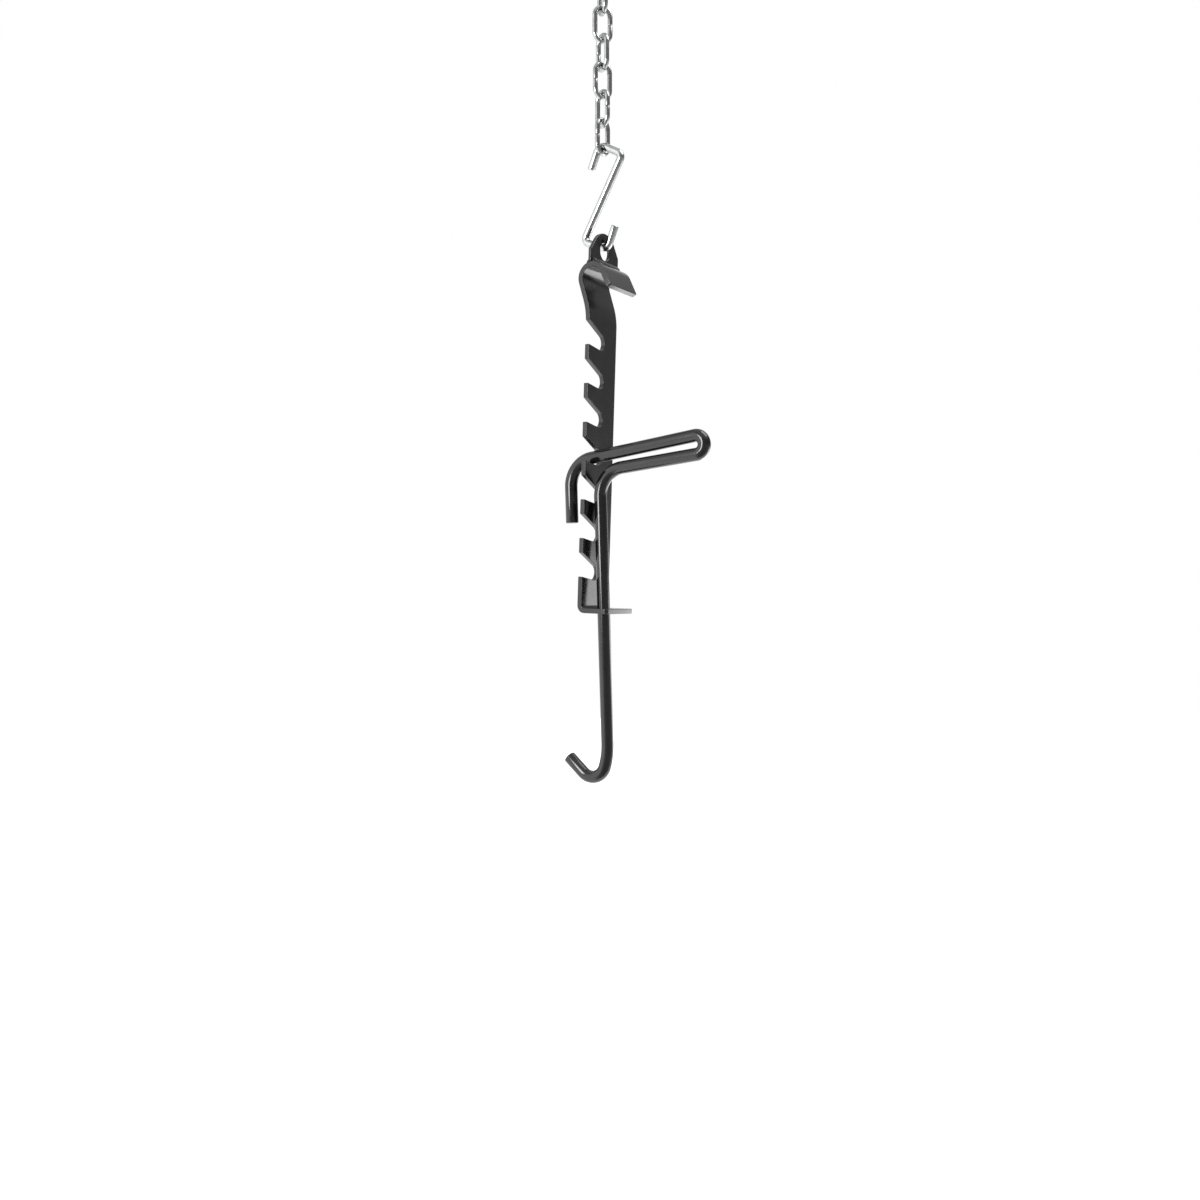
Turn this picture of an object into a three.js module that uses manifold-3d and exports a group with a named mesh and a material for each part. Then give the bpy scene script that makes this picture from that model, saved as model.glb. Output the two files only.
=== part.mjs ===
// Trammel hook for hanging a cooking pot over a fire, with the chain that it hangs on.
// A flat steel bar carries seven open notches down one edge. Its top is rolled over into a lifting
// hook and its foot is bent forward into a guide with a round hole. An eye plate is welded on the
// crown of the roll. A bent round rod runs through the guide, rests with its arm in one notch and
// ends in the pot hook. A bent wire hook joins the eye plate to the chain.
// Millimetres. +X leaves the bar's front face, +Y runs from the notched edge to the plain edge,
// +Z is up. The origin is where the top link hangs: the inside of its upper bow.
import * as THREE from 'three';
import { mergeVertices } from 'three/addons/utils/BufferGeometryUtils.js';
import Module from 'manifold-3d';

const wasm = await Module();
wasm.setup();

// Play where two pieces bear on each other
const restGap = 0.3;

// Chain of round wire links, each with an open butt seam in one leg
const chainWire = 4;
const linkInnerLength = 22.4;
const linkInnerWidth = 9;
const linkSeam = 0.5;
// How far each link is turned about the vertical, top link first, and the leg with its seam
const linkTurns = [-38, 56, -28, 63, -22, 84];
const linkSeamLegs = [1, 1, -1, -1, 1, -1];

// Bent wire hook between the chain and the eye plate
const hookWire = 6;
const hookTopPlay = 0.5;
const hookTopSeatAngle = 32;
const hookFootPlay = 0.8;
const hookCornerRadius = 4.7;
const hookTopTip = 14;
const hookTopRun = 12.65;
const hookLongRun = 62.5;
const hookFootRun = 13.05;
const hookFootTip = 13.6;
const hookTipHeading = 67;
const hookTopBend = 95.5;
const hookUpperCorner = 91.1;
const hookLowerCorner = 97;
const hookFootBend = 89.9;

// Eye plate
const eyeThickness = 3;
const eyeHoleRoom = 7.8;
const eyeHoleHeight = 11.1;
const eyeRim = 7.1;
const eyeSeatAngle = 34;
const eyeTopRadius = 17;
const eyeShoulderHeight = 9.7;
const eyeWeldLeg = 3.2;
const eyeWeldEndInset = 1.2;

// Notched bar, one bent sheet
const barWidth = 40;
const barThickness = 4;
const barLean = 2.03;
const notchCount = 7;
const notchPitch = 30;
const notchDepth = 23;
const notchPlay = 1;
const notchLip = 2.45;
const notchRoofAngle = 26.3;
const firstTipDrop = 17.1;
const footLand = 22.3;
const neckRadius = 56.2;
const neckAngle = 18.8;
const neckRun = 13.8;
const crownRadius = 10.2;
const crownAngle = 171.9;
const crownTipRun = 14.9;
const crownTipCorner = 1.5;
const guideReach = 23.2;
const guideBendInside = 2;
const guideCorner = 3;
const guidePlay = 3;

// Bent rod with the pot hook, the handle loop and the keeper behind the bar
const rodDiameter = 10;
const rodLean = 4.0;
const rodInset = 14.4;
const restNotch = 4;
const potHookTip = 17.4;
const potHookRadius = 12.4;
const potHookTurn = 133;
const potHookEaseRadius = 55;
const potHookEaseTurn = 19.4;
const shankRun = 192.2;
const handleLowerRise = 3.45;
const handleUpperRise = 5.1;
const handleBendRadius = 21.5;
const handleRun = 65.4;
const handleLoopRadius = 7.1;
const keeperRoom = 12.6;
const keeperRun = 28.6;

// Facets
const wireSides = 16;
const chainSides = 12;
const arcStep = 8;
const wideArcStep = 13;
const holeFacets = 40;

const rad = THREE.MathUtils.degToRad;

const blackSteel = { color: 0x1b1b1c, roughness: 0.42, metalness: 0.15 };
const zincSteel = { color: 0xc9cac8, roughness: 0.28, metalness: 1 };

// A line in the XZ plane, laid out as a bending shop does: straight runs and bends, one after another.
// Each station holds a point and the heading there; each bend also leaves its centre in centres.
class BentLine {
  constructor(headingDegrees) {
    this.heading = rad(headingDegrees);
    this.x = 0;
    this.z = 0;
    this.stations = [];
    this.centres = [];
    this.mark();
  }

  mark() {
    this.stations.push({ x: this.x, z: this.z, heading: this.heading });
  }

  run(length) {
    this.x += length * Math.cos(this.heading);
    this.z += length * Math.sin(this.heading);
    this.mark();
    return this;
  }

  // Positive degrees turn left, from +X towards +Z
  bend(radius, degrees, stepDegrees = arcStep) {
    const side = Math.sign(degrees);
    const centre = {
      x: this.x - side * radius * Math.sin(this.heading),
      z: this.z + side * radius * Math.cos(this.heading),
    };
    const start = this.heading;
    const steps = Math.ceil(Math.abs(degrees) / stepDegrees);
    this.centres.push(centre);
    for (let i = 1; i <= steps; i += 1) {
      this.heading = start + rad(degrees) * (i / steps);
      this.x = centre.x + side * radius * Math.sin(this.heading);
      this.z = centre.z - side * radius * Math.cos(this.heading);
      this.mark();
    }
    return this;
  }

  shift(dx, dz) {
    for (const point of [...this.stations, ...this.centres]) {
      point.x += dx;
      point.z += dz;
    }
    this.x += dx;
    this.z += dz;
    return this;
  }
}

// A space curve through a bent line's stations, one step of the extrusion for each station
class StationCurve extends THREE.Curve {
  constructor(stations) {
    super();
    this.stations = stations;
  }

  station(u) {
    return this.stations[Math.round(u * (this.stations.length - 1))];
  }

  getPointAt(u, target = new THREE.Vector3()) {
    const { x, z } = this.station(u);
    return target.set(x, 0, z);
  }

  getTangentAt(u, target = new THREE.Vector3()) {
    const { heading } = this.station(u);
    return target.set(Math.cos(heading), 0, Math.sin(heading));
  }
}

function roundSection(diameter, sides) {
  const points = [];
  for (let i = 0; i < sides; i += 1) {
    const angle = (i / sides) * 2 * Math.PI;
    points.push(new THREE.Vector2(Math.cos(angle), Math.sin(angle)).multiplyScalar(diameter / 2));
  }
  return new THREE.Shape(points);
}

function bentWire(line, diameter, sides) {
  const curve = new StationCurve(line.stations);
  return new THREE.ExtrudeGeometry(roundSection(diameter, sides), {
    extrudePath: curve,
    steps: line.stations.length - 1,
  });
}

// Extrudes an outline drawn in XZ along Y, centred on Y = 0
function acrossBar(shape, width) {
  const geometry = new THREE.ExtrudeGeometry(shape, { depth: width, bevelEnabled: false });
  geometry.rotateX(Math.PI / 2);
  geometry.translate(0, width / 2, 0);
  return geometry;
}

// Extrudes an outline drawn in YZ along X, centred on X = 0
function throughBar(shape, depth) {
  const geometry = new THREE.ExtrudeGeometry(shape, { depth, bevelEnabled: false });
  geometry.translate(0, 0, -depth / 2);
  const basis = new THREE.Matrix4().makeBasis(
    new THREE.Vector3(0, 1, 0),
    new THREE.Vector3(0, 0, 1),
    new THREE.Vector3(1, 0, 0),
  );
  geometry.applyMatrix4(basis);
  return geometry;
}

function solidOf(geometry) {
  const bare = geometry.clone();
  bare.deleteAttribute('normal');
  bare.deleteAttribute('uv');
  const merged = mergeVertices(bare);
  return new wasm.Manifold(new wasm.Mesh({
    numProp: 3,
    vertProperties: merged.attributes.position.array,
    triVerts: Uint32Array.from(merged.index.array),
  }));
}

function geometryOf(solid) {
  const mesh = solid.getMesh();
  const geometry = new THREE.BufferGeometry();
  geometry.setAttribute('position', new THREE.BufferAttribute(Float32Array.from(mesh.vertProperties), 3));
  geometry.setIndex(new THREE.BufferAttribute(Uint32Array.from(mesh.triVerts), 1));
  geometry.computeVertexNormals();
  return geometry;
}

function piece(name, geometry, finish) {
  const mesh = new THREE.Mesh(geometry, new THREE.MeshStandardMaterial(finish));
  mesh.name = name;
  return mesh;
}

// The corner that is cut away to round a sheet's corner; the corner itself is at the origin, and the
// sheet fills the quarter where both coordinates are negative
function cornerCut(radius, depth) {
  const spare = 1;
  const shape = new THREE.Shape();
  shape.moveTo(spare, spare);
  shape.lineTo(-radius, spare);
  shape.lineTo(-radius, 0);
  shape.absarc(-radius, -radius, radius, Math.PI / 2, 0, true);
  shape.lineTo(spare, -radius);
  const geometry = new THREE.ExtrudeGeometry(shape, { depth, bevelEnabled: false, curveSegments: 8 });
  geometry.translate(0, 0, -depth / 2);
  return geometry;
}

const group = new THREE.Group();

// Chain
const bowRadius = (linkInnerWidth + chainWire) / 2;
const linkStraight = linkInnerLength + chainWire - 2 * bowRadius;
const bowToBow = linkInnerLength + chainWire;
const linkHang = chainWire + restGap;
const topBowHeight = chainWire / 2;

function chainLink() {
  const half = (linkStraight - linkSeam) / 2;
  const line = new BentLine(90)
    .run(half)
    .bend(bowRadius, 180, wideArcStep)
    .run(linkStraight)
    .bend(bowRadius, 180, wideArcStep)
    .run(half);
  line.shift(bowRadius, linkSeam / 2);
  return bentWire(line, chainWire, chainSides);
}

// Height of each link's upper bow centre
const linkHeights = linkTurns.map((turn, i) => topBowHeight - i * (bowToBow - linkHang));
linkTurns.forEach((turn, i) => {
  const link = piece(`chain_link_${i + 1}`, chainLink(), zincSteel);
  const seamTurn = linkSeamLegs[i] > 0 ? 0 : 180;
  link.rotation.z = rad(turn + seamTurn);
  link.position.z = linkHeights[i] - bowToBow / 2;
  group.add(link);
});
const lowestBow = linkHeights.at(-1) - bowToBow;

// Wire hook: its upper bend hangs on the lowest bow, its lower bend carries the eye plate
const hookTopRadius = chainWire / 2 + restGap + hookTopPlay + hookWire / 2;
const hookFootRadius = eyeThickness / 2 + hookFootPlay + hookWire / 2;
const hookLine = new BentLine(hookTipHeading)
  .run(hookTopTip)
  .bend(hookTopRadius, -hookTopBend)
  .run(hookTopRun)
  .bend(hookCornerRadius, -hookUpperCorner)
  .run(hookLongRun)
  .bend(hookCornerRadius, hookLowerCorner)
  .run(hookFootRun)
  .bend(hookFootRadius, hookFootBend)
  .run(hookFootTip);
const [hookTopCentre] = hookLine.centres;
hookLine.shift(
  hookTopPlay * Math.sin(rad(hookTopSeatAngle)) - hookTopCentre.x,
  lowestBow - hookTopPlay * Math.cos(rad(hookTopSeatAngle)) - hookTopCentre.z,
);
group.add(piece('s_hook', bentWire(hookLine, hookWire, wireSides), zincSteel));
const hookFootCentre = hookLine.centres.at(-1);

// Notched bar, drawn upright in its own frame: X = 0 is the middle of the flat sheet, Z = 0 the
// middle of the guide's sheet, Y = 0 the middle of its width
const guideBendRadius = guideBendInside + barThickness / 2;
const barFlat = firstTipDrop + (notchCount - 1) * notchPitch + footLand;
const barLine = new BentLine(180)
  .run(guideReach + barThickness / 2 - guideBendRadius)
  .bend(guideBendRadius, -90, wideArcStep)
  .run(barFlat)
  .bend(neckRadius, neckAngle, 3)
  .run(neckRun)
  .bend(crownRadius, -crownAngle)
  .run(crownTipRun);
barLine.shift(guideReach + barThickness / 2, 0);
const crownCentre = barLine.centres.at(-1);
const toothedEdge = -barWidth / 2;
const firstTip = guideBendRadius + barFlat - firstTipDrop;

function sheetOutline(line, thickness) {
  const side = (sign) => line.stations.map(({ x, z, heading }) => new THREE.Vector2(
    x - sign * Math.sin(heading) * thickness / 2,
    z + sign * Math.cos(heading) * thickness / 2,
  ));
  return new THREE.Shape([...side(-1), ...side(1).reverse()]);
}

// One notch: from the tip of its tooth down a slope into a round seat, and out along a slanted roof
const seatRadius = rodDiameter / 2 + notchPlay;
const seatY = toothedEdge + notchDepth - seatRadius;
const seatAboveTip = seatRadius - notchLip;
const tipToSeat = Math.hypot(seatY - toothedEdge, seatAboveTip);
const seatSlope = Math.asin(seatRadius / tipToSeat) - Math.atan2(seatAboveTip, seatY - toothedEdge);

function notchCutter(tipHeight) {
  const outside = 2;
  const roof = rad(notchRoofAngle);
  const roofEndY = seatY + seatRadius * Math.sin(roof);
  const roofEndZ = tipHeight + seatAboveTip + seatRadius * Math.cos(roof);
  const edgeY = toothedEdge - outside;
  const shape = new THREE.Shape();
  shape.moveTo(edgeY, tipHeight);
  shape.lineTo(toothedEdge, tipHeight);
  shape.lineTo(
    seatY - seatRadius * Math.sin(seatSlope),
    tipHeight + seatAboveTip - seatRadius * Math.cos(seatSlope),
  );
  shape.absarc(seatY, tipHeight + seatAboveTip, seatRadius, -Math.PI / 2 - seatSlope, Math.PI / 2 - roof, false);
  shape.lineTo(toothedEdge, roofEndZ + (roofEndY - toothedEdge) * Math.tan(roof));
  shape.lineTo(edgeY, roofEndZ + (roofEndY - toothedEdge) * Math.tan(roof));
  return throughBar(shape, 6 * barThickness);
}

// Rod, drawn in its own frame: the shank's axis is X = 0, the pot hook's centre height is Z = 0.
// A wide bend eases the shank into the pot hook. The handle's lower arm leaves the shank, and its
// upper arm comes back over it to the keeper
const rodLine = new BentLine(90 - potHookTurn)
  .run(potHookTip)
  .bend(potHookRadius, potHookTurn - potHookEaseTurn)
  .bend(potHookEaseRadius, potHookEaseTurn)
  .run(shankRun)
  .bend(handleBendRadius, handleLowerRise - 90)
  .run(handleRun)
  .bend(handleLoopRadius, 180 + handleUpperRise - handleLowerRise, wideArcStep);
const [potHookCentre, easeCentre] = rodLine.centres;
rodLine.shift(-easeCentre.x - potHookEaseRadius, -potHookCentre.z);
const shankTop = easeCentre.z + shankRun;
const loopEnd = rodLine.stations.at(-1);
const armSlope = Math.tan(rad(handleUpperRise));
const armHeight = loopEnd.z - loopEnd.x * armSlope;
const keeperTurn = 90 - handleUpperRise;
const keeperSetback = handleBendRadius * Math.tan(rad(keeperTurn / 2));
const keeperStandoff = rodDiameter + restGap + barThickness + keeperRoom;
rodLine
  .run((loopEnd.x + keeperStandoff) / Math.cos(rad(handleUpperRise)) - keeperSetback)
  .bend(handleBendRadius, keeperTurn)
  .run(keeperRun);

// Where the rod's frame lies in the bar's frame: the shank just clears the bar's front face where
// the handle's bend begins, and the arm rests in its notch
const rodTurn = rad(rodLean);
const shankToBar = (barThickness / 2 + rodDiameter / 2 + restGap) / Math.cos(rodTurn);
const rodX = shankToBar + shankTop * Math.sin(rodTurn);
const armAtBar = (armHeight * Math.sin(rodTurn) - rodX) / (Math.cos(rodTurn) - armSlope * Math.sin(rodTurn));
const armRiseAtBar = armAtBar * Math.sin(rodTurn) + (armHeight + armAtBar * armSlope) * Math.cos(rodTurn);
const armTilt = rad(handleUpperRise + rodLean);
const rodY = toothedEdge + rodInset;
const restTip = firstTip - (restNotch - 1) * notchPitch;
const contactInset = rodInset - (rodDiameter / 2 + restGap) * Math.sin(seatSlope);
const armCentre = restTip - contactInset * Math.tan(seatSlope)
  + (rodDiameter / 2 + restGap) * Math.cos(seatSlope)
  + Math.tan(armTilt) * barThickness / 2
  + (1 / Math.cos(armTilt) - 1) * rodDiameter / 2;
const rodZ = armCentre - armRiseAtBar;
const guideHoleX = rodX + rodZ * Math.tan(rodTurn);

function notchedBar() {
  let bar = solidOf(acrossBar(sheetOutline(barLine, barThickness), barWidth));
  for (let i = 0; i < notchCount; i += 1) {
    bar = bar.subtract(solidOf(notchCutter(firstTip - i * notchPitch)));
  }
  const hole = new THREE.CylinderGeometry(
    (rodDiameter + guidePlay) / 2,
    (rodDiameter + guidePlay) / 2,
    3 * barThickness,
    holeFacets,
  );
  hole.rotateX(Math.PI / 2);
  hole.translate(guideHoleX, rodY, 0);
  bar = bar.subtract(solidOf(hole));
  const crownTip = barLine.stations.at(-1);
  for (const side of [-1, 1]) {
    const guideCut = cornerCut(guideCorner, 3 * barThickness);
    const tipCut = cornerCut(crownTipCorner, 3 * barThickness);
    if (side < 0) {
      guideCut.rotateX(Math.PI);
      tipCut.rotateX(Math.PI);
    }
    guideCut.translate(guideReach + barThickness / 2, side * barWidth / 2, 0);
    tipCut.rotateY(-crownTip.heading);
    tipCut.translate(crownTip.x, side * barWidth / 2, crownTip.z);
    bar = bar.subtract(solidOf(guideCut)).subtract(solidOf(tipCut));
  }
  return geometryOf(bar);
}

// Eye plate on the crown, in line with the bar's flat
const crownOutside = crownRadius + barThickness / 2;
const crownHeightAt = (x) => crownCentre.z + Math.sqrt(crownOutside ** 2 - (x - crownCentre.x) ** 2);
const eyeBase = crownHeightAt(Math.min(crownCentre.x, eyeThickness / 2)) + restGap;
const eyeHoleRadius = (hookWire + eyeHoleRoom) / 2;
const eyeHoleZ = eyeBase + eyeHoleHeight;

function eyePlate() {
  const arcZ = eyeHoleZ + eyeHoleRadius + eyeRim - eyeTopRadius;
  const shoulderZ = eyeBase + eyeShoulderHeight;
  const half = barWidth / 2;
  const shoulder = new THREE.Vector2(half, shoulderZ - arcZ);
  const tangent = shoulder.angle() + Math.acos(eyeTopRadius / shoulder.length());
  const shape = new THREE.Shape();
  shape.moveTo(-half, eyeBase);
  shape.lineTo(half, eyeBase);
  shape.lineTo(half, shoulderZ);
  shape.absarc(0, arcZ, eyeTopRadius, tangent, Math.PI - tangent, false);
  shape.lineTo(-half, shoulderZ);
  const hole = new THREE.Path();
  hole.absarc(0, eyeHoleZ, eyeHoleRadius, 0, 2 * Math.PI, true);
  shape.holes.push(hole);
  const geometry = new THREE.ExtrudeGeometry(shape, {
    depth: eyeThickness,
    bevelEnabled: false,
    curveSegments: holeFacets / 2,
  });
  geometry.translate(0, 0, -eyeThickness / 2);
  const basis = new THREE.Matrix4().makeBasis(
    new THREE.Vector3(0, 1, 0),
    new THREE.Vector3(0, 0, 1),
    new THREE.Vector3(1, 0, 0),
  );
  geometry.applyMatrix4(basis);
  return geometry;
}

// Fillet weld along one side of the eye plate's foot: flat against the plate, hollow over the crown
function weldBead(side) {
  const near = side * (eyeThickness / 2 + restGap);
  const far = near + side * eyeWeldLeg;
  const steps = 6;
  const points = [];
  for (let i = 0; i <= steps; i += 1) {
    const x = near + (far - near) * (i / steps);
    const lift = restGap / Math.cos(Math.asin((x - crownCentre.x) / crownOutside));
    points.push(new THREE.Vector2(x, crownHeightAt(x) + lift));
  }
  const root = points[0];
  const toe = points.at(-1);
  const head = new THREE.Vector2(near, root.y + eyeWeldLeg);
  const bulge = new THREE.Vector2(toe.x - side * 0.2 * eyeWeldLeg, head.y - 0.2 * eyeWeldLeg);
  const face = new THREE.QuadraticBezierCurve(toe, bulge, head).getPoints(steps).slice(1);
  return acrossBar(new THREE.Shape([...points, ...face]), barWidth - 2 * eyeWeldEndInset);
}

const barGroup = new THREE.Group();
barGroup.add(piece('toothed_bar', notchedBar(), blackSteel));
barGroup.add(piece('eye_lug', eyePlate(), blackSteel));
barGroup.add(piece('lug_weld_front', weldBead(1), blackSteel));
barGroup.add(piece('lug_weld_back', weldBead(-1), blackSteel));

const rodGroup = new THREE.Group();
rodGroup.add(piece('hook_rod', bentWire(rodLine, rodDiameter, wireSides), blackSteel));
rodGroup.rotation.y = -rodTurn;
rodGroup.position.set(rodX, rodY, rodZ);
barGroup.add(rodGroup);

// The bar hangs by the top of its eye inside the wire hook's lower bend; the seat angle is measured
// from the lowest point of the bend to the place where the eye plate's front edge bears
const hookInside = hookFootRadius - hookWire / 2;
const eyeTopX = hookFootCentre.x + hookInside * Math.sin(rad(eyeSeatAngle)) - eyeThickness / 2;
const eyeTopZ = hookFootCentre.z - hookInside * Math.cos(rad(eyeSeatAngle)) + restGap;
const eyeTopInBar = eyeHoleZ + eyeHoleRadius;
barGroup.rotation.y = rad(barLean);
barGroup.position.set(
  eyeTopX - eyeTopInBar * Math.sin(rad(barLean)),
  0,
  eyeTopZ - eyeTopInBar * Math.cos(rad(barLean)),
);
group.add(barGroup);

export default group;
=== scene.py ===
import math

import bmesh
import bpy
from mathutils import Matrix, Vector


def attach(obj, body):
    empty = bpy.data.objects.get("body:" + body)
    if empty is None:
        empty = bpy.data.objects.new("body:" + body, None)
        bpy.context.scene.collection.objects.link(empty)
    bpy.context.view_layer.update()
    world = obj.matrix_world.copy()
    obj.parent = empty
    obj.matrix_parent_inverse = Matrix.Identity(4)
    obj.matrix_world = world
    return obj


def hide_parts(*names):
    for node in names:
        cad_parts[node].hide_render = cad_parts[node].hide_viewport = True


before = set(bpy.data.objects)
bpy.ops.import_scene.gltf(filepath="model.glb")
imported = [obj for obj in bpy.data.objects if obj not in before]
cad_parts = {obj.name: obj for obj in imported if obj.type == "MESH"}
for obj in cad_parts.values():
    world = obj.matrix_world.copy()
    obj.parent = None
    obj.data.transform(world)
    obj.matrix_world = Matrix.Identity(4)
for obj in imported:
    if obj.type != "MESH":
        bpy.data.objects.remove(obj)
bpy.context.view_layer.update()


# Chain: six links of 4 mm steel wire, each bent round and butted shut in the middle of one leg, then
# zinc plated in a barrel. Each hangs in the bow of the one above, turned across it.
MM = 0.001
CHAIN_WIRE = 4.0
LINK_INNER_LENGTH = 22.4
LINK_INNER_WIDTH = 9.0
LINK_SEAM = 0.5
LINK_RIM = 0.5
REST_GAP = 0.3
LINK_TURNS = (-38, 56, -28, 63, -22, 84)
LINK_SEAM_LEGS = (1, 1, -1, -1, 1, -1)


def ahead(heading):
    return Vector((math.cos(heading), 0, math.sin(heading)))


def left_of(heading):
    return Vector((-math.sin(heading), 0, math.cos(heading)))


class BentLine:
    """Straight runs and bends laid end to end in an XZ plane, as a bending shop makes them, in mm.
    A run is its length; a bend is its radius and its degrees, positive to the left."""

    def __init__(self, heading, moves):
        self.parts = []
        self.centres = []
        self.length = 0.0
        place = Vector((0, 0, 0))
        heading = math.radians(heading)
        for move in moves:
            radius, degrees = move if isinstance(move, tuple) else (0.0, 0.0)
            turn = math.radians(degrees)
            length = radius * abs(turn) if radius else move
            part = (self.length, length, place, heading, math.copysign(radius, turn), turn)
            self.parts.append(part)
            if radius:
                self.centres.append(place + part[4] * left_of(heading))
            place, heading = self.on(part, length)
            self.length += length

    def on(self, part, distance):
        _, length, place, heading, radius, turn = part
        if not radius:
            return place + distance * ahead(heading), heading
        now = heading + turn * distance / length
        return place + radius * (left_of(heading) - left_of(now)), now

    def at(self, distance):
        part = [p for p in self.parts if p[0] <= distance + 1e-9][-1]
        return self.on(part, distance - part[0])

    def stops(self, arc_step):
        """Distances from one end to the other: the ends of each run, and steps round each bend."""
        found = []
        for start, length, _, _, radius, turn in self.parts:
            steps = math.ceil(abs(math.degrees(turn)) / arc_step) if radius else 1
            found += [start + length * i / steps for i in range(steps)]
        return found + [self.length]


def hex_colour(code):
    """An sRGB hex colour as the linear values that Blender's sockets hold."""
    parts = [int(code[i:i + 2], 16) / 255 for i in (1, 3, 5)]
    return [c / 12.92 if c <= 0.04045 else ((c + 0.055) / 1.055) ** 2.4 for c in parts] + [1.0]


def add(tree, kind, inputs=(), **settings):
    """Adds a node, sets it, and fills or links its inputs."""
    made = tree.nodes.new(kind)
    for name, value in settings.items():
        setattr(made, name, value)
    for socket, value in dict(inputs).items():
        if isinstance(value, bpy.types.NodeSocket):
            tree.links.new(value, made.inputs[socket])
        else:
            made.inputs[socket].default_value = value
    return made


def new_material(name):
    made = bpy.data.materials.new(name)
    made.use_nodes = True
    made.node_tree.nodes.clear()
    return made, made.node_tree


# Bright zinc plating on drawn steel wire: a pale, cool metal that mirrors in streaks. The die's fine
# lines run along the wire and the barrel leaves small dull patches a few millimetres long.
DRAWN_LINE = 0.25
LINE_STRETCH = 45


def zinc_plated_wire(name, wire, patch_size, fresh, dull):
    made, tree = new_material(name)
    along = add(tree, "ShaderNodeAttribute", attribute_name="along").outputs["Fac"]
    around = add(tree, "ShaderNodeAttribute", attribute_name="around").outputs["Vector"]
    parts = add(tree, "ShaderNodeSeparateXYZ", {0: around}).outputs
    # One turn of the unit circle stands for the wire's girth
    drawn = add(tree, "ShaderNodeCombineXYZ", {0: parts[0], 1: parts[1], 2: along})
    stretched = add(tree, "ShaderNodeMapping", {
        "Vector": drawn.outputs[0], "Scale": (1, 1, LINE_STRETCH)})
    lines = add(tree, "ShaderNodeTexNoise", {
        "Vector": stretched.outputs[0], "Scale": wire / 2 / DRAWN_LINE, "Detail": 3.0,
        "Roughness": 0.6})
    place = add(tree, "ShaderNodeTexCoord").outputs["Object"]
    patches = add(tree, "ShaderNodeTexNoise", {
        "Vector": place, "Scale": 1 / (patch_size * MM), "Detail": 4.0, "Roughness": 0.65})
    dullness = add(tree, "ShaderNodeMapRange", {
        "Value": patches.outputs["Fac"], "From Min": 0.42, "From Max": 0.68},
        interpolation_type="SMOOTHSTEP")
    roughness = add(tree, "ShaderNodeMapRange", {
        "Value": dullness.outputs[0], "To Min": 0.12, "To Max": 0.24})
    colour = add(tree, "ShaderNodeMix", {
        "Factor": dullness.outputs[0], 6: hex_colour(fresh), 7: hex_colour(dull)}, data_type="RGBA")
    line_relief = add(tree, "ShaderNodeBump", {
        "Height": lines.outputs["Fac"], "Strength": 0.25, "Distance": 0.02 * MM})
    relief = add(tree, "ShaderNodeBump", {
        "Height": patches.outputs["Fac"], "Strength": 0.1, "Distance": 0.05 * MM,
        "Normal": line_relief.outputs[0]})
    metal = add(tree, "ShaderNodeBsdfPrincipled", {
        "Base Color": colour.outputs[2], "Roughness": roughness.outputs[0], "Metallic": 1.0,
        "Normal": relief.outputs[0]})
    add(tree, "ShaderNodeOutputMaterial", {"Surface": metal.outputs[0]})
    return made


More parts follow.
